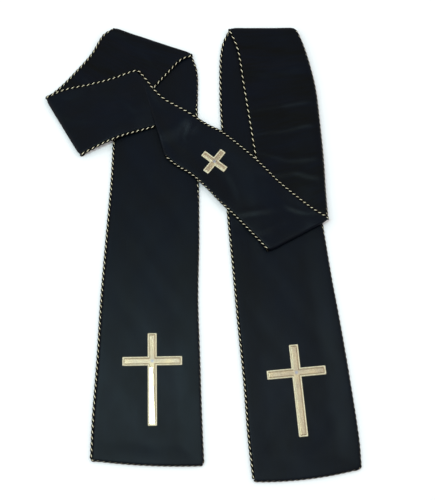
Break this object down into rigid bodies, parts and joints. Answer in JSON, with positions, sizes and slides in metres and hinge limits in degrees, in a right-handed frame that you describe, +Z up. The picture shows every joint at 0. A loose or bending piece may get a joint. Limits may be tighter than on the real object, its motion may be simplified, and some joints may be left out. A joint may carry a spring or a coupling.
{
  "type": "clergy stole",
  "caption": "Folded clergy stole lying flat: a black satin band with twisted cord piping, a mitred neck and plain metallic crosses, worn round the neck in church services.",
  "frame": {"origin": "middle of the plan of the folded stole, on the surface that it lies on", "axes": "+Y from the hems to the top folds, +X to the right end panel, +Z up"},
  "size_m": [0.4427, 0.664, 0.0169],
  "materials": {
    "face_satin": "satin",
    "lining_satin": "satin",
    "piping_cord": "satin",
    "cross_metallic": "satin"
  },
  "bodies": {
    "root": {"face_left_end": "face_satin", "face_right_end": "face_satin", "face_left_return": "face_satin", "face_right_return": "face_satin", "lining_left_return": "lining_satin", "lining_right_return": "lining_satin", "face_neck_left": "face_satin", "face_neck_right": "face_satin", "piping_outer": "piping_cord", "piping_inner_left": "piping_cord", "piping_inner_right": "piping_cord", "cross_left": "cross_metallic", "cross_right": "cross_metallic", "cross_neck": "cross_metallic"}
  },
  "joints": []
}
